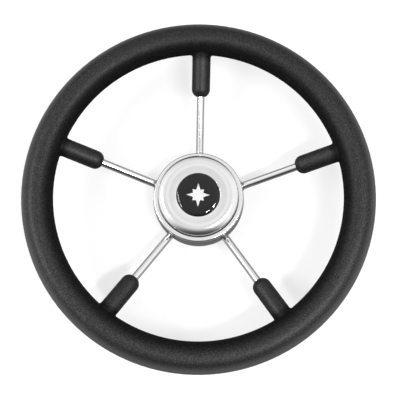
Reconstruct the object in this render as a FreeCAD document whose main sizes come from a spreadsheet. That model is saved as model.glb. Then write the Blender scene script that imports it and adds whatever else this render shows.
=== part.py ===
import FreeCAD, Part
import os
from enum import IntEnum

import Sketcher

# Boat steering wheel: a moulded grip on a steel ring, five rod spokes and a capped hub.
#
# The origin is the centre of the shaft taper's wide end, on the back face of the hub boss.
# +Y runs along the helm shaft, away from the person steering. +Z is up, along spoke_1.
# The wheel is dished: the rim stands in front of the hub, towards -Y.

SPOKES = 5
FULL_TURN = 360

# Every driving size, in millimetres, apart from the lean in degrees and the taper's ratio.
SIZES = [
    ("wheel_diameter", 350, "over the outside of the grip"),
    ("grip_section", 31, "diameter of the grip where the hand closes on it"),
    ("ring_bar", 10, "diameter of the round bar that stiffens the grip"),
    ("spoke_diameter", 8, "diameter of the spoke rods"),
    ("spoke_lean", 19.5, "angle of the spokes to the plane of the rim, in degrees"),
    ("spoke_height", 11.4, "from the hub's back face to a spoke's axis where it meets the boss"),
    ("spoke_socket", 5, "how far each spoke is let into the boss"),
    ("spoke_hole_gap", 0.2, "radial gap round a spoke where it passes the shell"),
    ("sleeve_diameter", 19, "diameter of the moulded sleeves on the spokes"),
    ("sleeve_length", 58, "from the ring's centre line to the sleeve's end"),
    ("sleeve_nose", 7.5, "length over which a sleeve's end narrows"),
    ("sleeve_lip", 1, "flat left round the rod at a sleeve's end"),
    ("sleeve_root_round", 2, "fillet where a sleeve grows out of the rim"),
    ("boss_diameter", 40, "outside of the boss"),
    ("boss_length", 28, "from the back face to the front face"),
    ("boss_proud", 1.5, "how far the boss stands out behind the back plate"),
    ("boss_chamfer", 0.8, "chamfer on the outer edges of the boss"),
    ("boss_step", 3, "depth of the step that carries the back plate"),
    ("taper_diameter", 19.05, "wide end of the shaft taper"),
    ("taper_ratio", 12, "length of taper for one unit of diameter"),
    ("nut_seat_diameter", 30, "recess for the shaft nut and its washer"),
    ("nut_seat_depth", 2, "depth of that recess"),
    ("key_width", 4.8, "width of the keyway"),
    ("key_depth", 2.4, "depth of the keyway above the taper's wall"),
    ("hub_diameter", 96, "widest outside of the shell"),
    ("hub_widest", 3, "from the hub's back face to that widest circle"),
    ("wall_curve", 300, "radius of the shell's bulging wall"),
    ("shoulder_rise", 12.7, "from a spoke's axis at the shell's wall to the shoulder"),
    ("shoulder_ledge", 7, "how far the cap's side lies inside the shell's widest circle"),
    ("shoulder_round", 2, "outer rounding of the shoulder"),
    ("shell_wall", 1.5, "thickness of the shell"),
    ("rebate_depth", 0.6, "depth of the rebate in the shoulder that the cap stands in"),
    ("rebate_gap", 0.9, "open joint round the cap in that rebate"),
    ("neck_depth", 7, "length of the neck that takes the cap's plug"),
    ("neck_lead", 0.5, "rounding of the neck's mouth"),
    ("plate_thickness", 3, "thickness of the back plate"),
    ("cap_height", 15.6, "from the cap's foot to its crest"),
    ("cap_bow", 14, "radius of the bow in which the cap's front falls to its edge"),
    ("cap_round", 2, "outer rounding of that edge"),
    ("cap_wall", 1.6, "thickness of the cap"),
    ("cap_lip", 0.5, "chamfer on the cap's bottom edge"),
    ("cap_overhang", 5, "how far the cap reaches out past the neck"),
    ("crest_inset", 9.2, "from the cap's side to the circle on which it is highest"),
    ("crown_fall", 1.85, "fall of the cap's front from that circle in to the badge"),
    ("seat_depth", 3.8, "from the crest down to the floor under the badge"),
    ("seat_round", 0.5, "rounding of the edge round the badge"),
    ("plug_gap", 0.25, "radial gap between the plug and the neck"),
    ("plug_wall", 3.2, "thickness of the plug"),
    ("plug_depth", 6.5, "how far the plug reaches into the neck"),
    ("plug_lead", 0.8, "chamfer that leads the plug into the neck"),
    ("groove_width", 3, "width of the seal's groove"),
    ("groove_depth", 1.8, "depth of that groove"),
    ("groove_inset", 1.7, "from the cap's foot to the groove"),
    ("seal_width", 2.6, "width of the squeezed seal, along the hub"),
    ("seal_round", 0.9, "rounding of the seal's section"),
    ("badge_diameter", 44, "outside of the badge"),
    ("badge_gap", 0.15, "radial gap round the badge"),
    ("badge_thickness", 0.8, "thickness of the printed badge disc"),
    ("lens_height", 2.2, "height of the clear lens in the middle"),
    ("lens_crown", 500, "radius of the lens's broad middle"),
    ("lens_edge_width", 5, "width of the band in which the lens falls to its edge"),
    ("lens_edge_curve", 11, "radius of that band's curve"),
]

# What follows from the driving sizes, as expressions on the sheet. "Forward" is a distance
# in front of the hub's back face, and "radius" a distance from the shaft's axis.
LEAN = "Sizes.spoke_lean * 1deg"
RING_RADIUS = "((Sizes.wheel_diameter - Sizes.grip_section) / 2)"
SPOKE_RADIUS = "Sizes.spoke_diameter / 2"
BOSS_RADIUS = "Sizes.boss_diameter / 2"
HUB_RADIUS = "Sizes.hub_diameter / 2"
DISH = f"(Sizes.spoke_height + ({RING_RADIUS} - {BOSS_RADIUS}) * tan({LEAN}))"
SPOKE_LENGTH = f"({RING_RADIUS} - {BOSS_RADIUS} + Sizes.spoke_socket) / cos({LEAN})"
STEP_RADIUS = f"({BOSS_RADIUS} - Sizes.boss_step)"
PLATE_BACK = "Sizes.boss_proud"
PLATE_FRONT = "(Sizes.boss_proud + Sizes.plate_thickness)"
BORE_LENGTH = "(Sizes.boss_length - Sizes.nut_seat_depth)"
TAPER_WIDE = "Sizes.taper_diameter / 2"
TAPER_NARROW = f"({TAPER_WIDE} - {BORE_LENGTH} / Sizes.taper_ratio / 2)"
# The shell's wall bulges: it is an arc that is widest a little in front of the back plate.
WALL_CENTRE = f"({HUB_RADIUS} - Sizes.wall_curve)"
SHELL_FOOT = (
    f"({WALL_CENTRE} + sqrt(Sizes.wall_curve ^ 2 - (Sizes.hub_widest - {PLATE_BACK}) ^ 2))"
)
SHELL_INSIDE = f"({SHELL_FOOT} - Sizes.shell_wall)"
SHOULDER = (
    f"(Sizes.spoke_height + ({HUB_RADIUS} - {BOSS_RADIUS}) * tan({LEAN})"
    " + Sizes.shoulder_rise)"
)
CAP_RADIUS = f"({HUB_RADIUS} - Sizes.shoulder_ledge)"
CAP_INSIDE = f"({CAP_RADIUS} - Sizes.cap_wall)"
CAP_FOOT = f"({SHOULDER} - Sizes.rebate_depth)"
REBATE_RADIUS = f"({CAP_RADIUS} + Sizes.rebate_gap)"
NECK_RADIUS = f"({CAP_RADIUS} - Sizes.cap_overhang)"
CREST = f"({CAP_FOOT} + Sizes.cap_height)"
CREST_RADIUS = f"({CAP_RADIUS} - Sizes.crest_inset)"
CEILING = f"({CREST} - Sizes.cap_wall)"
# Outside the crest circle the cap's front is a bow, which runs into the edge's smaller arc.
BOW_CENTRE = f"({CREST} - Sizes.cap_bow)"
BOW_REACH = "(Sizes.cap_bow - Sizes.cap_round)"
CORNER_RADIUS = f"({CAP_RADIUS} - Sizes.cap_round)"
CORNER = f"({BOW_CENTRE} + sqrt({BOW_REACH} ^ 2 - ({CORNER_RADIUS} - {CREST_RADIUS}) ^ 2))"
SEAT_RADIUS = "(Sizes.badge_diameter / 2 + Sizes.badge_gap)"
SEAT_TOP = f"({CREST} - Sizes.crown_fall)"
# The cap's front is level at the crest circle and curves down to the edge of the seat.
CROWN_RADIUS = (
    f"((({CREST_RADIUS} - {SEAT_RADIUS}) ^ 2 + Sizes.crown_fall ^ 2) / (2 * Sizes.crown_fall))"
)
CROWN_CENTRE = f"({CREST} - {CROWN_RADIUS})"
SEAT_FLOOR = f"({CREST} - Sizes.seat_depth)"
PLUG_OUTSIDE = f"({NECK_RADIUS} - Sizes.plug_gap)"
PLUG_INSIDE = f"({PLUG_OUTSIDE} - Sizes.plug_wall)"
PLUG_END = f"({CAP_FOOT} - Sizes.plug_depth)"
GROOVE_FRONT = f"({CAP_FOOT} - Sizes.groove_inset)"
GROOVE_BACK = f"({GROOVE_FRONT} - Sizes.groove_width)"
GROOVE_FLOOR = f"({PLUG_OUTSIDE} - Sizes.groove_depth)"
GROOVE_MIDDLE = f"({GROOVE_FRONT} - Sizes.groove_width / 2)"
BADGE_RADIUS = "Sizes.badge_diameter / 2"
BADGE_FRONT = f"({SEAT_FLOOR} + Sizes.badge_thickness)"
LENS_TOP = f"({BADGE_FRONT} + Sizes.lens_height)"
LENS_CROWN_CENTRE = f"({LENS_TOP} - Sizes.lens_crown)"
LENS_BREAK_RADIUS = f"({BADGE_RADIUS} - Sizes.lens_edge_width)"
LENS_BREAK = f"({LENS_CROWN_CENTRE} + sqrt(Sizes.lens_crown ^ 2 - {LENS_BREAK_RADIUS} ^ 2))"
# The lens's edge band is tangent to its middle, so both centres lie on one line.
LENS_SHARE = "(1 - Sizes.lens_edge_curve / Sizes.lens_crown)"
LENS_BAND_RADIUS = f"({LENS_BREAK_RADIUS} * {LENS_SHARE})"
LENS_BAND_CENTRE = f"({LENS_CROWN_CENTRE} + ({LENS_BREAK} - {LENS_CROWN_CENTRE}) * {LENS_SHARE})"
LENS_EDGE = (
    f"({LENS_BAND_CENTRE}"
    f" + sqrt(Sizes.lens_edge_curve ^ 2 - ({BADGE_RADIUS} - {LENS_BAND_RADIUS}) ^ 2))"
)

NEAR = 1e-4


class Axis(IntEnum):
    """The numbers that a sketch gives its own two axes."""

    HORIZONTAL = -1
    VERTICAL = -2


class Spot(IntEnum):
    """Which point of an edge a constraint holds."""

    START = 1
    END = 2
    CENTRE = 3


# A sketch's origin is the start of its horizontal axis.
ORIGIN_POINT = (Axis.HORIZONTAL, Spot.START)


doc = FreeCAD.newDocument("SteeringWheel")


def make_sheet():
    """Fills the spreadsheet with the driving sizes."""
    sheet = doc.addObject("Spreadsheet::Sheet", "Sizes")
    for row, (alias, number, note) in enumerate(SIZES, start=1):
        sheet.set(f"A{row}", alias)
        sheet.set(f"B{row}", str(number))
        sheet.set(f"C{row}", note)
        sheet.setAlias(f"B{row}", alias)
    doc.recompute()
    return sheet


sheet = make_sheet()


def value(expression):
    """The number that an expression gives with the sheet's present sizes."""
    found = sheet.evalExpression(expression)
    return float(getattr(found, "Value", found))


def new_body(label):
    body = doc.addObject("PartDesign::Body", label)
    body.Label = label
    return body


def origin_feature(body, role):
    """One of the body's own planes or axes, such as XY_Plane or Y_Axis."""
    return next(found for found in body.Origin.OriginFeatures if found.Role == role)


def new_sketch(body, name, plane="XY_Plane"):
    sketch = body.newObject("Sketcher::SketchObject", name)
    sketch.AttachmentSupport = [(origin_feature(body, plane), "")]
    sketch.MapMode = "FlatFace"
    return sketch


def spoke_sketch(body, name):
    """A sketch in the plane of spoke_1. Its origin is on the ring's centre line, and its
    horizontal axis is the spoke's axis, pointing outwards."""
    sketch = new_sketch(body, name, "YZ_Plane")
    sketch.AttachmentOffset = FreeCAD.Placement(
        FreeCAD.Vector(), FreeCAD.Rotation(FreeCAD.Vector(0, 0, 1), value(LEAN))
    )
    sketch.setExpression("AttachmentOffset.Base.x", f"-{DISH}")
    sketch.setExpression("AttachmentOffset.Base.y", RING_RADIUS)
    sketch.setExpression("AttachmentOffset.Rotation.Angle", f"90deg + {LEAN}")
    return sketch


class Outline:
    """A closed outline in a sketch, with its corners bound to the sheet.

    A corner is a pair of expressions, both positive: the distance along the sketch's
    horizontal axis and the distance along its vertical axis. signs names the quadrant.
    """

    def __init__(self, sketch, signs):
        self.sketch = sketch
        self.signs = signs

    def place(self, corner):
        across, up = corner
        return FreeCAD.Vector(self.signs[0] * value(across), self.signs[1] * value(up), 0)

    def hold(self, kind, point, sign, expression, axis):
        """Binds one coordinate of a point to its expression."""
        if expression == "0":
            self.sketch.addConstraint(Sketcher.Constraint("PointOnObject", *point, axis))
            return
        ends = (*ORIGIN_POINT, *point) if sign > 0 else (*point, *ORIGIN_POINT)
        held = Sketcher.Constraint(kind, *ends, value(expression))
        index = self.sketch.addConstraint(held)
        self.sketch.setExpression(f"Constraints[{index}]", expression)

    def hold_across(self, point, expression):
        self.hold("DistanceX", point, self.signs[0], expression, Axis.VERTICAL)

    def hold_up(self, point, expression):
        self.hold("DistanceY", point, self.signs[1], expression, Axis.HORIZONTAL)

    def line(self, start, end):
        edge = Part.LineSegment(self.place(start), self.place(end))
        return self.sketch.addGeometry(edge, False)

    def arc(self, start, end, centre):
        """An arc from start to end, the short way round its centre."""
        middle = self.place(centre)
        first, last = self.place(start) - middle, self.place(end) - middle
        radius = first.Length
        halfway = (first.normalize() + last.normalize()).normalize()
        edge = Part.Arc(self.place(start), middle + halfway * radius, self.place(end))
        return self.sketch.addGeometry(edge, False)

    def close(self, corners, arcs=None):
        """Draws the outline through its corners. arcs gives, for the number of a side, the
        centre of the arc that takes its place. The ends lie at one distance from that
        centre by the way the sizes are worked out, so holding it across is enough."""
        arcs = arcs or {}
        sides, starts, ends = [], [], []
        for number, corner in enumerate(corners):
            following = corners[(number + 1) % len(corners)]
            if number in arcs:
                side = self.arc(corner, following, arcs[number])
            else:
                side = self.line(corner, following)
            turned = (self.sketch.getPoint(side, Spot.START) - self.place(corner)).Length > NEAR
            sides.append(side)
            starts.append((side, Spot.END if turned else Spot.START))
            ends.append((side, Spot.START if turned else Spot.END))
        for number, corner in enumerate(corners):
            joint = Sketcher.Constraint("Coincident", *ends[number - 1], *starts[number])
            self.sketch.addConstraint(joint)
            self.hold_across(starts[number], corner[0])
            self.hold_up(starts[number], corner[1])
        for number, centre in arcs.items():
            self.hold_across((sides[number], Spot.CENTRE), centre[0])
        return self.sketch


def hub_outline(body, name, corners, arcs=None):
    """An outline given by pairs of radius and forward distance."""
    return Outline(new_sketch(body, name), (1, -1)).close(corners, arcs)


def spoke_outline(body, name, corners, arcs=None):
    """An outline given by pairs of distance inwards along the spoke and radius round it."""
    return Outline(spoke_sketch(body, name), (-1, 1)).close(corners, arcs)


def rod_outline(body, name, outer_end, inner_end, radius):
    """Half the section of a round rod on the spoke's axis."""
    corners = [(outer_end, "0"), (inner_end, "0"), (inner_end, radius), (outer_end, radius)]
    return spoke_outline(body, name, corners)


def ring_section(body, name, diameter):
    """A circle of that diameter on the ring's centre line."""
    sketch = new_sketch(body, name)
    centre = FreeCAD.Vector(value(RING_RADIUS), -value(DISH), 0)
    circle = Part.Circle(centre, FreeCAD.Vector(0, 0, 1), value(diameter) / 2)
    side = sketch.addGeometry(circle, False)
    outline = Outline(sketch, (1, -1))
    outline.hold_across((side, Spot.CENTRE), RING_RADIUS)
    outline.hold_up((side, Spot.CENTRE), DISH)
    index = sketch.addConstraint(Sketcher.Constraint("Diameter", side, value(diameter)))
    sketch.setExpression(f"Constraints[{index}]", diameter)
    return sketch


def turn(body, sketch, name, axis="V_Axis", cut=False):
    """Turns a sketch a full circle about one of its axes, to add or to cut."""
    kind = "PartDesign::Groove" if cut else "PartDesign::Revolution"
    feature = body.newObject(kind, name)
    feature.Profile = sketch
    feature.ReferenceAxis = (sketch, [axis])
    feature.Angle = FULL_TURN
    doc.recompute()
    return feature


def repeat(body, feature, name):
    """Repeats a feature for each spoke, about the shaft's axis."""
    pattern = body.newObject("PartDesign::PolarPattern", name)
    pattern.Originals = [feature]
    pattern.Axis = (origin_feature(body, "Y_Axis"), [""])
    pattern.Angle = FULL_TURN
    pattern.Occurrences = SPOKES
    body.Tip = pattern
    doc.recompute()
    return pattern


def round_edges(feature, radius, forward):
    """Names of a turned feature's edges of that radius, at that forward distance."""
    names = []
    for number, edge in enumerate(feature.Shape.Edges, start=1):
        curve = edge.Curve
        if not isinstance(curve, Part.Circle):
            continue
        same_radius = abs(curve.Radius - value(radius)) < NEAR
        if same_radius and abs(curve.Center.y + value(forward)) < NEAR:
            names.append(f"Edge{number}")
    return names


def dress(body, kind, base, edges, size, name):
    """Adds a Fillet or a Chamfer, of a size from the sheet, to some edges."""
    feature = body.newObject(f"PartDesign::{kind}", name)
    feature.Base = (base, edges)
    feature.setExpression("Radius" if kind == "Fillet" else "Size", size)
    doc.recompute()
    return feature


def make_ring():
    """The round bar inside the grip, rolled to a ring and welded shut."""
    body = new_body("rim_ring")
    turn(body, ring_section(body, "bar_section", "Sizes.ring_bar"), "ring_rolled")


def make_spoke(number):
    """One rod: flat at the boss, and coped at the other end to sit round the ring's bar."""
    body = new_body(f"spoke_{number}")
    rod = rod_outline(body, f"rod_outline_{number}", "0", SPOKE_LENGTH, SPOKE_RADIUS)
    turn(body, rod, f"rod_{number}", "H_Axis")
    bar = ring_section(body, f"cope_outline_{number}", "Sizes.ring_bar")
    turn(body, bar, f"cope_{number}", cut=True)
    angle = FULL_TURN / SPOKES * (number - 1)
    body.Placement = FreeCAD.Placement(
        FreeCAD.Vector(), FreeCAD.Rotation(FreeCAD.Vector(0, 1, 0), angle)
    )


def root_edges(feature):
    """Names of the edges where the sleeves' round sides meet the rim."""
    names = []
    for number, edge in enumerate(feature.Shape.Edges, start=1):
        faces = feature.Shape.ancestorsOfType(edge, Part.Face)
        surfaces = {type(face.Surface) for face in faces}
        if surfaces == {Part.Toroid, Part.Cylinder} and not isinstance(edge.Curve, Part.Circle):
            names.append(f"Edge{number}")
    return names


def make_grip():
    """The grip and its sleeves, moulded in one piece round the ring and the spoke ends."""
    body = new_body("grip")
    turn(body, ring_section(body, "grip_outline", "Sizes.grip_section"), "grip_rim")
    side = "Sizes.sleeve_diameter / 2"
    end = "Sizes.sleeve_length"
    end_radius = f"({SPOKE_RADIUS} + Sizes.sleeve_lip)"
    nose_start = f"({end} - Sizes.sleeve_nose)"
    # The nose is an arc that leaves the sleeve's side smoothly and drops to the lip.
    drop = f"({side} - {end_radius})"
    nose_radius = f"((Sizes.sleeve_nose ^ 2 + {drop} ^ 2) / (2 * {drop}))"
    nose_centre = (nose_start, f"({side} - {nose_radius})")
    corners = [("0", "0"), (end, "0"), (end, end_radius), (nose_start, side), ("0", side)]
    outline = spoke_outline(body, "sleeve_outline", corners, {2: nose_centre})
    sleeves = repeat(body, turn(body, outline, "sleeve", "H_Axis"), "sleeves")
    dress(body, "Fillet", sleeves, root_edges(sleeves), "Sizes.sleeve_root_round", "sleeve_roots")
    turn(body, ring_section(body, "channel_outline", "Sizes.ring_bar"), "ring_channel", cut=True)
    past_end = f"({end} + Sizes.sleeve_nose)"
    hole = rod_outline(body, "hole_outline", "0", past_end, SPOKE_RADIUS)
    repeat(body, turn(body, hole, "spoke_channel", "H_Axis", cut=True), "spoke_channels")


def make_boss():
    """The turned boss: a tapered, keyed bore, a seat for the shaft nut and five sockets."""
    body = new_body("hub_boss")
    front = "Sizes.boss_length"
    nut_seat = "Sizes.nut_seat_diameter / 2"
    corners = [
        (TAPER_WIDE, "0"),
        (STEP_RADIUS, "0"),
        (STEP_RADIUS, PLATE_FRONT),
        (BOSS_RADIUS, PLATE_FRONT),
        (BOSS_RADIUS, front),
        (nut_seat, front),
        (nut_seat, BORE_LENGTH),
        (TAPER_NARROW, BORE_LENGTH),
    ]
    blank = turn(body, hub_outline(body, "boss_outline", corners), "boss_turned")
    outer = round_edges(blank, BOSS_RADIUS, front) + round_edges(blank, STEP_RADIUS, "0")
    dress(body, "Chamfer", blank, outer, "Sizes.boss_chamfer", "boss_edges")
    foot = rod_outline(body, "foot_outline", "0", SPOKE_LENGTH, SPOKE_RADIUS)
    repeat(body, turn(body, foot, "socket", "H_Axis", cut=True), "sockets")
    # The keyway faces down, between the two lower spokes, and follows the taper's slope.
    key_corners = [
        ("0", "0"),
        (BORE_LENGTH, "0"),
        (BORE_LENGTH, f"({TAPER_NARROW} + Sizes.key_depth)"),
        ("0", f"({TAPER_WIDE} + Sizes.key_depth)"),
    ]
    keyway = body.newObject("PartDesign::Pocket", "keyway")
    key_sketch = new_sketch(body, "key_outline", "YZ_Plane")
    keyway.Profile = Outline(key_sketch, (-1, -1)).close(key_corners)
    keyway.Midplane = True
    keyway.setExpression("Length", "Sizes.key_width")
    doc.recompute()


def make_shell():
    """The drawn shell: a bulging wall, a shoulder with a rebate turned in it for the cap's
    foot, and a neck that takes the cap's plug."""
    body = new_body("hub_shell")
    neck_outside = f"({NECK_RADIUS} + Sizes.shell_wall)"
    neck_end = f"({CAP_FOOT} - Sizes.neck_depth)"
    under_shoulder = f"({SHOULDER} - Sizes.shell_wall)"
    outer_corner = (
        f"({WALL_CENTRE} + sqrt(Sizes.wall_curve ^ 2 - ({SHOULDER} - Sizes.hub_widest) ^ 2))"
    )
    # The wall is straight inside where it holds the back plate, and follows the bulge above.
    inside_curve = (
        f"sqrt(({SHELL_INSIDE} - {WALL_CENTRE}) ^ 2 + (Sizes.hub_widest - {PLATE_FRONT}) ^ 2)"
    )
    inner_corner = (
        f"({WALL_CENTRE} + sqrt({inside_curve} ^ 2 - ({under_shoulder} - Sizes.hub_widest) ^ 2))"
    )
    corners = [
        (SHELL_INSIDE, PLATE_BACK),
        (SHELL_FOOT, PLATE_BACK),
        (outer_corner, SHOULDER),
        (REBATE_RADIUS, SHOULDER),
        (REBATE_RADIUS, CAP_FOOT),
        (NECK_RADIUS, CAP_FOOT),
        (NECK_RADIUS, neck_end),
        (neck_outside, neck_end),
        (neck_outside, under_shoulder),
        (inner_corner, under_shoulder),
        (SHELL_INSIDE, PLATE_FRONT),
    ]
    bulge = (WALL_CENTRE, "Sizes.hub_widest")
    outline = hub_outline(body, "shell_outline", corners, {1: bulge, 9: bulge})
    drawn = turn(body, outline, "shell_drawn")
    edge = round_edges(drawn, outer_corner, SHOULDER)
    drawn = dress(body, "Fillet", drawn, edge, "Sizes.shoulder_round", "shoulder")
    edge = round_edges(drawn, inner_corner, under_shoulder)
    inner_round = "Sizes.shoulder_round - Sizes.shell_wall"
    drawn = dress(body, "Fillet", drawn, edge, inner_round, "shoulder_inside")
    edge = round_edges(drawn, NECK_RADIUS, CAP_FOOT)
    dress(body, "Fillet", drawn, edge, "Sizes.neck_lead", "neck_mouth")
    # Each spoke hole runs from a spoke's diameter outside the wall to as far inside it.
    start = f"({RING_RADIUS} - {HUB_RADIUS} - Sizes.spoke_diameter) / cos({LEAN})"
    end = f"({RING_RADIUS} - {SHELL_INSIDE} + Sizes.spoke_diameter) / cos({LEAN})"
    radius = f"({SPOKE_RADIUS} + Sizes.spoke_hole_gap)"
    hole = rod_outline(body, "hole_outline", start, end, radius)
    repeat(body, turn(body, hole, "spoke_hole", "H_Axis", cut=True), "spoke_holes")


def make_back_plate():
    """The disc that closes the shell behind and carries it on the boss."""
    body = new_body("hub_back_plate")
    corners = [
        (STEP_RADIUS, PLATE_BACK),
        (SHELL_INSIDE, PLATE_BACK),
        (SHELL_INSIDE, PLATE_FRONT),
        (STEP_RADIUS, PLATE_FRONT),
    ]
    turn(body, hub_outline(body, "plate_outline", corners), "plate")


def bow_point(distance):
    """The point at that distance from the bow's centre, on the line where its arc ends."""
    share = f"({distance} / {BOW_REACH})"
    return (
        f"({CREST_RADIUS} + ({CORNER_RADIUS} - {CREST_RADIUS}) * {share})",
        f"({BOW_CENTRE} + ({CORNER} - {BOW_CENTRE}) * {share})",
    )


def make_cap():
    """The cast and polished cap: a crowned front with a seat for the badge, and a plug."""
    body = new_body("cap")
    crown_inside = f"({CROWN_RADIUS} - Sizes.cap_wall)"
    seat_outside = f"({SEAT_RADIUS} + Sizes.cap_wall)"
    seat_back = f"({SEAT_FLOOR} - Sizes.cap_wall)"
    under_crown = (
        f"({CROWN_CENTRE} + sqrt({crown_inside} ^ 2 - ({CREST_RADIUS} - {seat_outside}) ^ 2))"
    )
    corners = [
        ("0", seat_back),
        (seat_outside, seat_back),
        (seat_outside, under_crown),
        (CREST_RADIUS, CEILING),
        bow_point("(Sizes.cap_bow - Sizes.cap_wall)"),
        (CAP_INSIDE, CORNER),
        (CAP_INSIDE, CAP_FOOT),
        (CAP_RADIUS, CAP_FOOT),
        (CAP_RADIUS, CORNER),
        bow_point("Sizes.cap_bow"),
        (CREST_RADIUS, CREST),
        (SEAT_RADIUS, SEAT_TOP),
        (SEAT_RADIUS, SEAT_FLOOR),
        ("0", SEAT_FLOOR),
    ]
    crown = (CREST_RADIUS, CROWN_CENTRE)
    bow = (CREST_RADIUS, BOW_CENTRE)
    corner = (CORNER_RADIUS, CORNER)
    arcs = {2: crown, 3: bow, 4: corner, 8: corner, 9: bow, 10: crown}
    turn(body, hub_outline(body, "cap_outline", corners, arcs), "cap_skin")
    plug_corners = [
        (PLUG_INSIDE, PLUG_END),
        (PLUG_OUTSIDE, PLUG_END),
        (PLUG_OUTSIDE, CEILING),
        (PLUG_INSIDE, CEILING),
    ]
    cast = turn(body, hub_outline(body, "plug_outline", plug_corners), "plug")
    lip = round_edges(cast, CAP_RADIUS, CAP_FOOT)
    cast = dress(body, "Chamfer", cast, lip, "Sizes.cap_lip", "lip")
    lead = round_edges(cast, PLUG_OUTSIDE, PLUG_END)
    cast = dress(body, "Chamfer", cast, lead, "Sizes.plug_lead", "lead")
    rim = round_edges(cast, SEAT_RADIUS, SEAT_TOP)
    dress(body, "Fillet", cast, rim, "Sizes.seat_round", "seat_rim")
    groove_corners = [
        (GROOVE_FLOOR, GROOVE_BACK),
        (NECK_RADIUS, GROOVE_BACK),
        (NECK_RADIUS, GROOVE_FRONT),
        (GROOVE_FLOOR, GROOVE_FRONT),
    ]
    turn(body, hub_outline(body, "groove_outline", groove_corners), "seal_groove", cut=True)


def make_seal():
    """The rubber ring, squeezed between the floor of its groove and the shell's neck."""
    body = new_body("cap_seal")
    back = f"({GROOVE_MIDDLE} - Sizes.seal_width / 2)"
    front = f"({GROOVE_MIDDLE} + Sizes.seal_width / 2)"
    corners = [
        (GROOVE_FLOOR, back),
        (NECK_RADIUS, back),
        (NECK_RADIUS, front),
        (GROOVE_FLOOR, front),
    ]
    ring = turn(body, hub_outline(body, "seal_outline", corners), "seal")
    edges = [name for corner in corners for name in round_edges(ring, *corner)]
    dress(body, "Fillet", ring, edges, "Sizes.seal_round", "seal_section")


def make_badge():
    """The printed disc in the cap's seat."""
    body = new_body("badge")
    corners = [
        ("0", SEAT_FLOOR),
        (BADGE_RADIUS, SEAT_FLOOR),
        (BADGE_RADIUS, BADGE_FRONT),
        ("0", BADGE_FRONT),
    ]
    turn(body, hub_outline(body, "badge_outline", corners), "badge_disc")


def make_lens():
    """The clear resin poured on the badge: nearly flat, then falling to a low edge."""
    body = new_body("badge_lens")
    corners = [
        ("0", BADGE_FRONT),
        (BADGE_RADIUS, BADGE_FRONT),
        (BADGE_RADIUS, LENS_EDGE),
        (LENS_BREAK_RADIUS, LENS_BREAK),
        ("0", LENS_TOP),
    ]
    arcs = {2: (LENS_BAND_RADIUS, LENS_BAND_CENTRE), 3: ("0", LENS_CROWN_CENTRE)}
    turn(body, hub_outline(body, "lens_outline", corners, arcs), "lens")


def check_model(bodies):
    """Stops if an object of the document failed or a piece has no sound solid."""
    for thing in doc.Objects:
        if {"Invalid", "Error"} & set(thing.State):
            raise RuntimeError(f"{thing.Label} failed: {thing.State}")
    for body in bodies:
        shape = body.Shape
        if shape.isNull() or not shape.isValid() or len(shape.Solids) != 1:
            raise RuntimeError(f"{body.Label} has no single sound solid")


make_grip()
make_ring()
for spoke_number in range(1, SPOKES + 1):
    make_spoke(spoke_number)
make_boss()
make_shell()
make_back_plate()
make_cap()
make_seal()
make_badge()
make_lens()
doc.recompute()

pieces = [thing for thing in doc.Objects if thing.TypeId == "PartDesign::Body"]
check_model(pieces)
os.makedirs("parts", exist_ok=True)
for piece in pieces:
    piece.Shape.exportStep(f"parts/{piece.Label}.step")
    print(piece.Label, round(piece.Shape.Volume / 1000, 2), "cm3")
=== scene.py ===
import math

import bpy
from mathutils import Matrix, Quaternion, Vector


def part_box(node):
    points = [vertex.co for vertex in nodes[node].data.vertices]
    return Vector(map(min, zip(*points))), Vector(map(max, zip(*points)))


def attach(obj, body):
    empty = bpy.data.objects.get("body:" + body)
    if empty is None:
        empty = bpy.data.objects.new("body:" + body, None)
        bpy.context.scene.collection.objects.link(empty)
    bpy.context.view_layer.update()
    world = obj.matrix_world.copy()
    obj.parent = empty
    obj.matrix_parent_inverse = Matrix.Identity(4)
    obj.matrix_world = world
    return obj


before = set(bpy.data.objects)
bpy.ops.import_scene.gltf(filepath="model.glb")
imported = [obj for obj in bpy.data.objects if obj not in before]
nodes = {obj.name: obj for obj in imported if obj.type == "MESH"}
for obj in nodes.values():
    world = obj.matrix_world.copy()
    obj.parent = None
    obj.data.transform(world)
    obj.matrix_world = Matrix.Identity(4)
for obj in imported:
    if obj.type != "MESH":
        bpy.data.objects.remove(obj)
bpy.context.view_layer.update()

# The looks of a boat steering wheel: grained black grip, polished spokes and hub, clear badge.
# The wheel stands upright in front of a pale backdrop, its hub's back face towards it.
# "Forward" is a distance in front of the hub's back face, towards the person who steers.

MM = 0.001
SPOKES = 5
ROOT = "root"

# Places that follow from the frame: the rim's plane is the middle of the ring inside the grip.
ring_low, ring_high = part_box("rim_ring")
shell_low, shell_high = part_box("hub_shell")
badge_low, badge_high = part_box("badge")
RIM_CENTRE = Vector((0, (ring_low.y + ring_high.y) / 2, 0))
RING_RADIUS = (ring_high.x - ring_low.x) / 2 - (ring_high.y - ring_low.y) / 2
GRIP_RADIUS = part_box("grip")[1].x - RING_RADIUS
SHELL_RADIUS = shell_high.x
SHELL_FRONT = -shell_low.y
CAP_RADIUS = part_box("cap")[1].x
BADGE_RADIUS = badge_high.x
BADGE_FACE = Vector((0, badge_low.y, 0))

# Sizes of the wheel that its boxes don't give.
SPOKE_RADIUS = 4 * MM
SPOKE_LEAN = math.radians(19.5)
SPOKE_SLOPE = math.tan(SPOKE_LEAN)
SPOKE_FOOT_FORWARD = 11.4 * MM
BOSS_RADIUS = 20 * MM
SLEEVE_LENGTH = 58 * MM
SLEEVE_END = RING_RADIUS - SLEEVE_LENGTH * math.cos(SPOKE_LEAN)
WALL_CURVE = 300 * MM
WALL_WIDEST = 3 * MM
REBATE_DEPTH = 0.6 * MM
REBATE_RADIUS = CAP_RADIUS + 0.9 * MM
CAP_FOOT = SHELL_FRONT - REBATE_DEPTH
CREST_RADIUS = CAP_RADIUS - 9.2 * MM
CROWN_CURVE = 26.1 * MM

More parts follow.
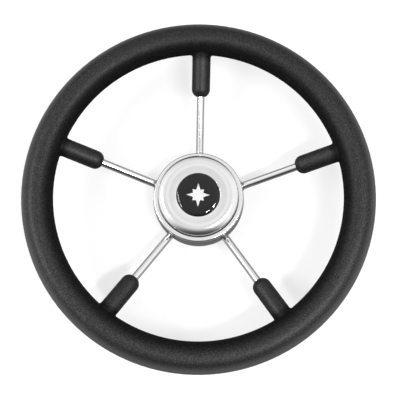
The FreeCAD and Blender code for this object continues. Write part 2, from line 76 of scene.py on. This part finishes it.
# Sizes of the pieces made here.
STAR_LONG_RAYS = 4
STAR_RADIUS = 12 * MM
STAR_WAIST = 0.46
STAR_SHORT = 0.68
PRINT_THICKNESS = 0.05 * MM
BEAD_SIZE = 1.0 * MM
BEAD_RIPPLES = 18
BEAD_SIDES = 10
BEAD_CLEARANCE = 0.35 * BEAD_SIZE
RIPPLE_DEPTH = 0.18 * BEAD_SIZE
CROSSING_TRIES = 20

# Where one finish, painted shade or painted highlight fades into the next: from the first value to
# the second.
POLISH_FADE = (SHELL_FRONT - 3.6 * MM, SHELL_FRONT - 2.4 * MM)
JOINT_SHADE_FADE = (REBATE_RADIUS - 0.15 * MM, REBATE_RADIUS)
CAP_FOOT_SHADE_FADE = (CAP_FOOT + 0.45 * MM, CAP_FOOT + 0.75 * MM)
HIGHLIGHT_RADIUS = CREST_RADIUS - 1.0 * MM
HIGHLIGHT_FADE = (0.5 * MM, 2.5 * MM)
ROD_SHADOW_FADE = (SLEEVE_END - 1.0 * MM, SLEEVE_END - 0.3 * MM)
MOULD_LINE_FADE = (0.05 * MM, 0.35 * MM)
BADGE_LIGHT_FADE = (-0.3 * BADGE_RADIUS, BADGE_RADIUS)

# The grip's grain: how many cells and specks fit in a metre, and how they make its shine.
GRAIN_CELLS = 1000.0
GRAIN_SPECKS = 1500.0
CELL_SHARE = 0.6
SPECK_SHARE = 0.7
GRAIN_CONTRAST = 2.6
GRAIN_CUT = 1.1
# Extra painted sheen on the sleeves.
SLEEVE_PAINTED_SHEEN = 1.25
SEAM_HEIGHT = 1.5

# The fades of the grip's zones, across its section: -1 is its inner side and 1 its outer side.
# The zones are painted light: a paler outside, more sheen on the front and sleeves, and less on
# the inner side.
SLEEVE_FADE = (-1.6, -1.1)
FRONT_FADE = (-0.85, -0.15)
OUTSIDE_FADE = (0.35, 1.0)
PAINTED_OUTSIDE_SHEEN = 0.9

# How much flatter the cap's crown shades than its solid is, as a share of its fall.
CROWN_FLATTENED = 0.4

# The studio.
STUDIO_WHITE = 0.40
STUDIO_GLOW = 0.58
STUDIO_SIZE = 3.0
WALL_BEHIND = 1 * MM
FLOOR_LEVEL = -0.25
SKY_LEVEL = 1.06

# The photograph's view, fitted to the rim, the spokes and the sleeves' ends.
CAMERA_DISTANCE = 0.6604
CAMERA_AZIMUTH = math.radians(0.929)
CAMERA_ELEVATION = math.radians(-9.70)
WHEEL_TURN = math.radians(1.481)
CAMERA_LENS = 60.07
SENSOR_WIDTH = 36
FRAME_SIDE = 400
RIM_CENTRE_PIXEL = (197.9, 192.5)


class Wire:
    """One value on its way through a material. Arithmetic on wires adds Math nodes."""

    def __init__(self, finish, socket):
        self.finish = finish
        self.socket = socket

    def maths(self, operation, *others):
        """Adds a Math node that takes this value first."""
        return self.finish.maths(operation, self, *others)

    def __add__(self, other):
        return self.maths("ADD", other)

    def __sub__(self, other):
        return self.maths("SUBTRACT", other)

    def __mul__(self, other):
        return self.maths("MULTIPLY", other)

    def __truediv__(self, other):
        return self.maths("DIVIDE", other)

    def __pow__(self, other):
        return self.maths("POWER", other)

    def __radd__(self, other):
        return self.finish.maths("ADD", other, self)

    def __rsub__(self, other):
        return self.finish.maths("SUBTRACT", other, self)

    def __rmul__(self, other):
        return self.finish.maths("MULTIPLY", other, self)

    def __rtruediv__(self, other):
        return self.finish.maths("DIVIDE", other, self)

    def clamped(self):
        return self.maths("MAXIMUM", 0.0).maths("MINIMUM", 1.0)

    def between(self, low, high):
        """Low where this value is 0, and high where it is 1."""
        return self * (high - low) + low


class Outputs:
    """The outputs of one node, by name or number."""

    def __init__(self, finish, node):
        self.finish = finish
        self.node = node

    def __getitem__(self, key):
        return Wire(self.finish, self.node.outputs[key])


class Finish:
    """A node tree that is built node by node."""

    def __init__(self, tree):
        self.tree = tree
        self.tree.nodes.clear()

    def add(self, kind, settings=None, inputs=None):
        """Adds a shader node. Settings come first; inputs are values or wires."""
        node = self.tree.nodes.new("ShaderNode" + kind)
        for key, setting in (settings or {}).items():
            setattr(node, key, setting)
        for key, given in (inputs or {}).items():
            if isinstance(given, Wire):
                self.tree.links.new(given.socket, node.inputs[key])
            else:
                node.inputs[key].default_value = given
        return Outputs(self, node)

    def maths(self, operation, *values):
        return self.add("Math", {"operation": operation}, dict(enumerate(values)))[0]


def new_material(name):
    material = bpy.data.materials.new(name)
    material.use_nodes = True
    return material, Finish(material.node_tree)


def put_on(material, *pieces):
    """Gives pieces this material alone."""
    for piece in pieces:
        piece.data.materials.clear()
        piece.data.materials.append(material)


def grey(level):
    return (level, level, level, 1.0)


def colour_between(finish, factor, first, second):
    """Mixes two colours."""
    settings = {"data_type": "RGBA"}
    return finish.add("Mix", settings, {0: factor, 6: first, 7: second})[2]


def grey_between(finish, factor, dark, light):
    """A grey that goes from dark to light as the factor goes from 0 to 1."""
    return colour_between(finish, factor, grey(dark), grey(light))


def surface(finish, shader):
    finish.add("OutputMaterial", inputs={"Surface": shader})


def skin(finish, colour, roughness, extra=None):
    """The surface of a piece. More of its sockets may be given by name."""
    inputs = {"Base Color": colour, "Roughness": roughness, **(extra or {})}
    surface(finish, finish.add("BsdfPrincipled", inputs=inputs)[0])


def metal(finish, colour, roughness, extra=None):
    """A bare metal surface."""
    skin(finish, colour, roughness, {"Metallic": 1.0, **(extra or {})})


def object_place(finish):
    return finish.add("TexCoord")["Object"]


def vector_of(finish, x, y, z):
    return finish.add("CombineXYZ", inputs={"X": x, "Y": y, "Z": z})[0]


def noise(finish, place, scale, detail=2.0):
    return finish.add("TexNoise", inputs={"Vector": place, "Scale": scale, "Detail": detail})[0]


def bump(finish, height, strength, distance):
    inputs = {"Height": height, "Strength": strength, "Distance": distance}
    return finish.add("Bump", inputs=inputs)["Normal"]


def rise(finish, value, low, high):
    """Goes smoothly from 0 to 1 while the value goes from low to high."""
    inputs = {"Value": value, "From Min": low, "From Max": high}
    return finish.add("MapRange", {"interpolation_type": "SMOOTHSTEP"}, inputs)[0]


def hub_place(finish):
    """Distance from the shaft's axis, angle round it, and distance forward."""
    parts = finish.add("SeparateXYZ", inputs={0: object_place(finish)})
    x, y, z = parts["X"], parts["Y"], parts["Z"]
    return (x * x + z * z) ** 0.5, x.maths("ARCTAN2", z), y * -1.0


def spoke_place(finish):
    """Distance out along the nearest spoke in the rim's plane, distance beside it, and forward."""
    radius, angle, forward = hub_place(finish)
    step = math.tau / SPOKES
    turned = (angle + step / 2).maths("FLOORED_MODULO", step) - step / 2
    return radius * turned.maths("COSINE"), radius * turned.maths("SINE"), forward


def ring_lines(finish, place, across, around, scale, detail=3.0):
    """Fine lines that run round the hub's axis, as turning and polishing leave them."""
    radius, angle, forward = place
    stretched = vector_of(finish, radius * across, angle * around, forward * across)
    return noise(finish, stretched, scale, detail)


def make_grip_foam():
    """Black self-skinning foam: a fine moulded grain with a soft sheen.

    Painted light: its outside is painted paler for sheen, and its inner side given less sheen for
    shade.
    """
    material, finish = new_material("grip_foam")
    place = object_place(finish)
    cell_inputs = {"Vector": place, "Scale": GRAIN_CELLS}
    cells = finish.add("TexVoronoi", {"feature": "F1"}, cell_inputs)["Distance"]
    specks = noise(finish, place, scale=GRAIN_SPECKS, detail=3.0)
    broad = noise(finish, place, scale=16.0)
    grain = cells * CELL_SHARE + specks * SPECK_SHARE
    raised = (grain * GRAIN_CONTRAST - GRAIN_CUT).clamped()
    radius, _, forward = hub_place(finish)
    # The mould's halves meet in the rim's plane and leave a faint line there.
    off_plane = (forward + RIM_CENTRE.y).maths("ABSOLUTE")
    seam = 1 - rise(finish, off_plane, *MOULD_LINE_FADE)
    across = (radius - RING_RADIUS) / GRIP_RADIUS
    sleeve = 1 - rise(finish, across, *SLEEVE_FADE)
    # Painted light and shade: more coat on the front and the sleeves, less on the inner side.
    front = rise(finish, across, *FRONT_FADE) + sleeve * SLEEVE_PAINTED_SHEEN
    outside = rise(finish, across, *OUTSIDE_FADE)
    shade = grey_between(finish, raised, dark=0.001, light=0.009)
    # Painted sheen: the outside is painted paler, standing in for light reflected from around it.
    painted_sheen_grey = grey_between(finish, broad, dark=0.08, light=0.12)
    shade = colour_between(finish, outside * PAINTED_OUTSIDE_SHEEN, shade, painted_sheen_grey)
    sheen = front.between(0.20, 0.88) * raised.between(0.32, 1.22)
    skin(finish, shade, broad.between(0.6, 0.7), {
        "Specular IOR Level": 0.0,
        "Coat Weight": sheen.clamped(),
        "Coat Roughness": 0.5,
        "Normal": bump(finish, grain + seam * SEAM_HEIGHT, strength=0.4, distance=0.12 * MM),
    })
    return material


def make_rod_steel():
    """Polished rod: drawn lines along it, and a painted shadow where it enters its sleeve."""
    material, finish = new_material("rod_steel")
    along, beside, forward = spoke_place(finish)
    across = vector_of(finish, along * 0.02, beside, forward - along * SPOKE_SLOPE)
    drawn = noise(finish, across, scale=2600.0, detail=3.0)
    # Painted shadow: the rod is painted dark just before it enters its sleeve.
    sleeve_shadow = rise(finish, along, *ROD_SHADOW_FADE)
    shade = grey_between(finish, drawn, dark=0.78, light=0.88)
    shade = colour_between(finish, sleeve_shadow, shade, grey(0.01))
    metal(finish, shade, drawn.between(0.05, 0.12))
    return material


def make_shell_steel():
    """Drawn steel: a bright shoulder, a wall painted dark for reflection, and a joint painted in
    shade.
    """
    material, finish = new_material("shell_steel")
    place = hub_place(finish)
    radius, _, forward = place
    lines = ring_lines(finish, place, across=40.0, around=0.6, scale=60.0)
    polished = rise(finish, forward, *POLISH_FADE)
    # Painted reflection: the wall is painted darker than the shoulder, for the dark it mirrors.
    wall = grey_between(finish, lines, dark=0.20, light=0.34)
    shoulder = grey_between(finish, lines, dark=0.86, light=0.95)
    shade = colour_between(finish, polished, wall, shoulder)
    # Painted shade in the rebate where the cap sits.
    joint_shade = 1 - rise(finish, radius, *JOINT_SHADE_FADE)
    shade = colour_between(finish, joint_shade, shade, grey(0.05))
    metal(finish, shade, polished.between(0.20, 0.08) + lines * 0.06)
    return material


def make_cap_metal():
    """Cast metal, polished bright, with a painted highlight band and a painted shadow along its
    lower edge.
    """
    material, finish = new_material("cap_metal")
    place = hub_place(finish)
    radius, _, forward = place
    lines = ring_lines(finish, place, across=30.0, around=0.8, scale=50.0, detail=4.0)
    haze = noise(finish, object_place(finish), scale=70.0, detail=3.0)
    shade = grey_between(finish, lines * 0.5 + haze * 0.5, dark=0.74, light=0.94)
    # A painted highlight: a band just inside the highest circle is painted brightest.
    off_band = (radius - HIGHLIGHT_RADIUS).maths("ABSOLUTE")
    painted_highlight = 1 - rise(finish, off_band, *HIGHLIGHT_FADE)
    shade = colour_between(finish, painted_highlight, shade, grey(0.97))
    # Painted shadow along the cap's foot, where it sits in the shell's rebate.
    seam = 1 - rise(finish, forward, *CAP_FOOT_SHADE_FADE)
    shade = colour_between(finish, seam, shade, grey(0.06))
    # The fall towards the badge shades flatter than the solid's, as the photograph shows it.
    inwards = (CREST_RADIUS - radius).maths("MAXIMUM", 0.0)
    height = inwards * inwards * (CROWN_FLATTENED / (2 * CROWN_CURVE))
    normal = bump(finish, height, strength=1.0, distance=1.0)
    metal(finish, shade, haze.between(0.07, 0.13), {"Normal": normal})
    return material


def make_badge_black():
    """Black print, painted greyer towards the top for the light from above, with the faintest
    cloudiness of its ink.
    """
    material, finish = new_material("badge_black")
    place = object_place(finish)
    cloud = noise(finish, place, scale=120.0, detail=4.0)
    height = finish.add("SeparateXYZ", inputs={0: place})["Z"]
    # Painted light: the print is painted greyer towards its top.
    painted_top_light = rise(finish, height, *BADGE_LIGHT_FADE)
    shade = grey_between(finish, cloud, dark=0.002, light=0.006)
    shade = colour_between(finish, painted_top_light, shade, grey(0.045))
    skin(finish, shade, cloud.between(0.4, 0.5))
    return material


def make_badge_white():
    """White print. Its glow gives back what the resin over it takes away."""
    material, finish = new_material("badge_white")
    cloud = noise(finish, object_place(finish), scale=300.0, detail=4.0)
    shade = grey_between(finish, cloud, dark=0.96, light=0.99)
    glow = {"Emission Color": shade, "Emission Strength": 0.25}
    skin(finish, shade, cloud.between(0.45, 0.55), glow)
    return material


def make_clear_resin():
    """Clear cast resin."""
    material, finish = new_material("clear_resin")
    wave = noise(finish, object_place(finish), scale=55.0)
    normal = bump(finish, wave, strength=0.02, distance=0.1 * MM)
    clear = {"IOR": 1.5, "Transmission Weight": 1.0, "Normal": normal}
    skin(finish, grey(1.0), wave * 0.03, clear)
    return material


def make_turned_steel():
    """Turned steel: fine rings from the tool."""
    material, finish = new_material("turned_steel")
    rings = ring_lines(finish, hub_place(finish), across=12.0, around=0.05, scale=150.0)
    shade = grey_between(finish, rings, dark=0.56, light=0.76)
    normal = bump(finish, rings, strength=0.25, distance=0.05 * MM)
    metal(finish, shade, rings.between(0.26, 0.38), {"Normal": normal})
    return material


def make_plate_steel():
    """Satin sheet, rubbed in circles and faintly cloudy."""
    material, finish = new_material("plate_steel")
    radius, angle, _ = hub_place(finish)
    flat_place = (radius, angle, 0.0)
    rubbed = ring_lines(finish, flat_place, across=30.0, around=0.4, scale=60.0, detail=4.0)
    cloud = noise(finish, object_place(finish), scale=45.0, detail=3.0)
    shade = grey_between(finish, rubbed * 0.6 + cloud * 0.4, dark=0.58, light=0.84)
    metal(finish, shade, cloud.between(0.28, 0.42))
    return material


def make_bar_steel():
    """Plain rolled bar, inside the grip."""
    material, finish = new_material("bar_steel")
    cloud = noise(finish, object_place(finish), scale=80.0, detail=4.0)
    metal(finish, grey_between(finish, cloud, dark=0.38, light=0.50), cloud.between(0.40, 0.60))
    return material


def make_weld_steel():
    """A weld bead, brushed clean: dull and patchy."""
    material, finish = new_material("weld_steel")
    cloud = noise(finish, object_place(finish), scale=700.0, detail=4.0)
    shade = grey_between(finish, cloud, dark=0.12, light=0.34)
    normal = bump(finish, cloud, strength=0.4, distance=0.1 * MM)
    metal(finish, shade, cloud.between(0.42, 0.57), {"Normal": normal})
    return material


def make_seal_rubber():
    """Black rubber."""
    material, finish = new_material("seal_rubber")
    cloud = noise(finish, object_place(finish), scale=900.0, detail=3.0)
    shade = grey_between(finish, cloud, dark=0.016, light=0.028)
    skin(finish, shade, cloud.between(0.45, 0.60))
    return material


def apply_place():
    """Moves the selected piece's place into its mesh."""
    bpy.ops.object.transform_apply(location=True, rotation=True, scale=True)


def finish_piece(piece, material):
    """Gives a new piece its material, and lets it ride with the wheel."""
    put_on(material, piece)
    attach(piece, ROOT)


def select_corners(mesh, chosen):
    """Selects the vertices with the chosen numbers, in the mesh that is open in edit mode."""
    bpy.ops.mesh.select_all(action="DESELECT")
    bpy.ops.object.mode_set(mode="OBJECT")
    for number in chosen:
        mesh.vertices[number].select = True
    bpy.ops.object.mode_set(mode="EDIT")


def add_star(material):
    """A plain eight-pointed star, printed on the badge under the lens."""
    corners = 4 * STAR_LONG_RAYS
    bpy.ops.object.select_all(action="DESELECT")
    bpy.ops.mesh.primitive_circle_add(
        vertices=corners, radius=STAR_RADIUS, fill_type="NGON",
        location=BADGE_FACE, rotation=(math.pi / 2, 0, 0),
    )
    star = bpy.context.object
    star.name = "badge_star"
    bpy.ops.object.mode_set(mode="EDIT")
    bpy.ops.mesh.select_mode(type="VERT")
    # Every second corner is drawn in, and every second point left is made a short one.
    inner = range(1, corners, 2)
    short = range(2, corners, 4)
    for share, chosen in ((STAR_WAIST, inner), (STAR_SHORT, short)):
        select_corners(star.data, chosen)
        bpy.ops.transform.resize(value=(share, share, share), center_override=BADGE_FACE)
    bpy.ops.mesh.select_all(action="SELECT")
    forward = {"value": (0, -PRINT_THICKNESS, 0)}
    bpy.ops.mesh.extrude_region_move(TRANSFORM_OT_translate=forward)
    bpy.ops.mesh.select_all(action="SELECT")
    bpy.ops.mesh.normals_make_consistent(inside=False)
    bpy.ops.object.mode_set(mode="OBJECT")
    apply_place()
    finish_piece(star, material)


def wall_crossing():
    """Where a spoke's axis meets the shell's wall: its radius and its distance forward."""
    radius = SHELL_RADIUS
    # The wall bulges, so each try starts from the radius that the last one found.
    for _ in range(CROSSING_TRIES):
        forward = SPOKE_FOOT_FORWARD + (radius - BOSS_RADIUS) * SPOKE_SLOPE
        drop = WALL_CURVE - math.sqrt(WALL_CURVE ** 2 - (forward - WALL_WIDEST) ** 2)
        radius = SHELL_RADIUS - drop
    return radius, forward


def add_weld_beads(material):
    """One bead round each spoke where it enters the shell, with the ripples of its making."""
    radius, forward = wall_crossing()
    lean = math.asin((forward - WALL_WIDEST) / WALL_CURVE)
    outwards = Vector((0, -math.sin(lean), math.cos(lean)))
    bpy.ops.object.select_all(action="DESELECT")
    bpy.ops.mesh.primitive_torus_add(
        location=(0, -forward, radius), rotation=outwards.to_track_quat("Z", "Y").to_euler(),
        major_segments=BEAD_RIPPLES * 2, minor_segments=BEAD_SIDES,
        major_radius=SPOKE_RADIUS + BEAD_CLEARANCE, minor_radius=BEAD_SIZE,
    )
    bead = bpy.context.object
    bpy.ops.object.mode_set(mode="EDIT")
    bpy.ops.mesh.select_mode(type="VERT")
    # Every second section round the bead is drawn in.
    firsts = range(0, 2 * BEAD_RIPPLES * BEAD_SIDES, 2 * BEAD_SIDES)
    select_corners(bead.data, [first + side for first in firsts for side in range(BEAD_SIDES)])
    bpy.ops.transform.shrink_fatten(value=-RIPPLE_DEPTH)
    bpy.ops.object.mode_set(mode="OBJECT")
    apply_place()
    smooth = bead.modifiers.new("rounded", "SUBSURF")
    smooth.levels = smooth.render_levels = 2
    bpy.ops.object.modifier_apply(modifier="rounded")
    bpy.ops.object.shade_smooth()
    beads = [bead]
    for number in range(1, SPOKES):
        copy = bead.copy()
        copy.data = bead.data.copy()
        copy.data.transform(Matrix.Rotation(math.tau / SPOKES * number, 4, "Y"))
        bpy.context.collection.objects.link(copy)
        beads.append(copy)
    for number, piece in enumerate(beads, start=1):
        piece.name = f"weld_bead_{number}"
        finish_piece(piece, material)


def add_camera():
    """The photograph's camera: it looks at the rim's centre from slightly below."""
    bpy.ops.object.camera_add()
    camera = bpy.context.object
    back = Vector((
        math.sin(CAMERA_AZIMUTH) * math.cos(CAMERA_ELEVATION),
        -math.cos(CAMERA_AZIMUTH) * math.cos(CAMERA_ELEVATION),
        math.sin(CAMERA_ELEVATION),
    ))
    turn = Matrix.Rotation(-WHEEL_TURN, 4, "Y")
    aim = back.to_track_quat("Z", "Y").to_matrix().to_4x4()
    place = Matrix.Translation(back * CAMERA_DISTANCE)
    camera.matrix_world = Matrix.Translation(RIM_CENTRE) @ turn @ place @ aim
    camera.data.lens = CAMERA_LENS
    camera.data.sensor_width = SENSOR_WIDTH
    camera.data.shift_x = (FRAME_SIDE / 2 - RIM_CENTRE_PIXEL[0]) / FRAME_SIDE
    camera.data.shift_y = (RIM_CENTRE_PIXEL[1] - FRAME_SIDE / 2) / FRAME_SIDE
    bpy.context.scene.camera = camera


def add_lamp(name, toward, distance, width, length, turn, power):
    """A lamp that shines on the rim's centre from a direction, turned round that direction."""
    direction = Vector(toward).normalized()
    bpy.ops.object.light_add(type="AREA", location=RIM_CENTRE + direction * distance)
    lamp = bpy.context.object
    lamp.name = name
    lamp.data.shape = "RECTANGLE"
    lamp.data.size = width
    lamp.data.size_y = length
    lamp.data.energy = power
    lamp.rotation_mode = "QUATERNION"
    aim = direction.to_track_quat("Z", "Y")
    lamp.rotation_quaternion = aim @ Quaternion((0, 0, 1), math.radians(turn))
    return lamp


def add_lamps():
    """Two strip lamps from the sides, and a soft one from above that metal doesn't mirror."""
    add_lamp(
        "left_lamp", toward=(-0.669, -0.731, -0.02), distance=1.5,
        width=0.10, length=0.80, turn=24, power=10,
    )
    add_lamp(
        "right_lamp", toward=(0.3575, -0.891, -0.22), distance=1.5,
        width=0.10, length=0.60, turn=-51, power=12,
    )
    top = add_lamp(
        "top_lamp", toward=(0.2, -0.85, 0.5), distance=1.6,
        width=0.8, length=0.8, turn=0, power=1,
    )
    top.visible_glossy = False


def make_studio_white():
    """The studio's white: it takes shadows, and is clear from behind."""
    material, finish = new_material("studio_white")
    path = finish.add("LightPath")
    behind = finish.add("NewGeometry")["Backfacing"]
    diffuse = finish.add("BsdfDiffuse", inputs={"Color": grey(STUDIO_WHITE)})[0]
    seen = path["Is Camera Ray"] + path["Is Glossy Ray"] + path["Is Transmission Ray"]
    strength = seen.clamped() * STUDIO_GLOW
    glow = finish.add("Emission", inputs={"Color": grey(1.0), "Strength": strength})[0]
    lit = finish.add("AddShader", inputs={0: diffuse, 1: glow})[0]
    clear = finish.add("BsdfTransparent")[0]
    surface(finish, finish.add("MixShader", inputs={0: behind, 1: lit, 2: clear})[0])
    return material


def add_sheet_of_studio(name, material, place, rotation):
    """A large flat sheet of the studio. Lamps shine through it and metal doesn't mirror it."""
    bpy.ops.mesh.primitive_plane_add(size=STUDIO_SIZE, location=place, rotation=rotation)
    sheet = bpy.context.object
    sheet.name = name
    put_on(material, sheet)
    sheet.visible_diffuse = False
    sheet.visible_glossy = False
    sheet.visible_transmission = False
    sheet.visible_shadow = False


def patch(finish, direction, middle, full, fade):
    """1 within an angle of the middle direction, falling smoothly to 0 at a wider one."""
    dot = {"operation": "DOT_PRODUCT"}
    near = finish.add("VectorMath", dot, {0: direction, 1: middle})["Value"]
    return rise(finish, near, math.cos(math.radians(fade)), math.cos(math.radians(full)))


def set_world():
    """A white studio: dimmer in front, above and behind, and dark towards the ground."""
    world = bpy.data.worlds.new("studio")
    bpy.context.scene.world = world
    world.use_nodes = True
    finish = Finish(world.node_tree)
    direction = finish.add("TexCoord")["Generated"]

    def dimming(middle, full, fade, loss):
        return 1 - patch(finish, direction, middle, full, fade) * loss

    above = dimming((0, 0, 1), full=15, fade=70, loss=0.30)
    zenith = dimming((0, 0, 1), full=5, fade=30, loss=0.60)
    below = dimming((0, -0.35, -0.937), full=12, fade=58, loss=0.92)
    front = dimming((-0.1, -0.995, 0), full=8, fade=38, loss=0.20)
    low_behind = dimming((0, 0.97, -0.24), full=18, fade=45, loss=0.65)
    # The half behind the wheel is dim too, but less so round its lighter middle.
    half = patch(finish, direction, (0, 1, 0), full=72, fade=118)
    lighter = patch(finish, direction, (0, 0.94, 0.34), full=15, fade=60)
    behind = 1 - (half - lighter * 0.6) * 0.62
    level = above * zenith * below * front * behind * low_behind
    camera = finish.add("LightPath")["Is Camera Ray"]
    strength = camera + (1 - camera) * level * SKY_LEVEL
    background = finish.add("Background", inputs={"Color": grey(1.0), "Strength": strength})[0]
    finish.add("OutputWorld", inputs={"Surface": background})


bpy.context.scene.view_settings.view_transform = "Standard"

put_on(make_grip_foam(), nodes["grip"])
put_on(make_rod_steel(), *[nodes[f"spoke_{number}"] for number in range(1, SPOKES + 1)])
put_on(make_shell_steel(), nodes["hub_shell"])
put_on(make_cap_metal(), nodes["cap"])
put_on(make_bar_steel(), nodes["rim_ring"])
put_on(make_turned_steel(), nodes["hub_boss"])
put_on(make_plate_steel(), nodes["hub_back_plate"])
put_on(make_seal_rubber(), nodes["cap_seal"])
put_on(make_badge_black(), nodes["badge"])
put_on(make_clear_resin(), nodes["badge_lens"])
add_star(make_badge_white())
add_weld_beads(make_weld_steel())

bpy.ops.object.select_all(action="DESELECT")
add_camera()
studio_white = make_studio_white()
add_sheet_of_studio("backdrop", studio_white, (0, WALL_BEHIND, 0), (math.pi / 2, 0, 0))
add_sheet_of_studio("floor", studio_white, (0, 0, FLOOR_LEVEL), (0, 0, 0))
set_world()
add_lamps()
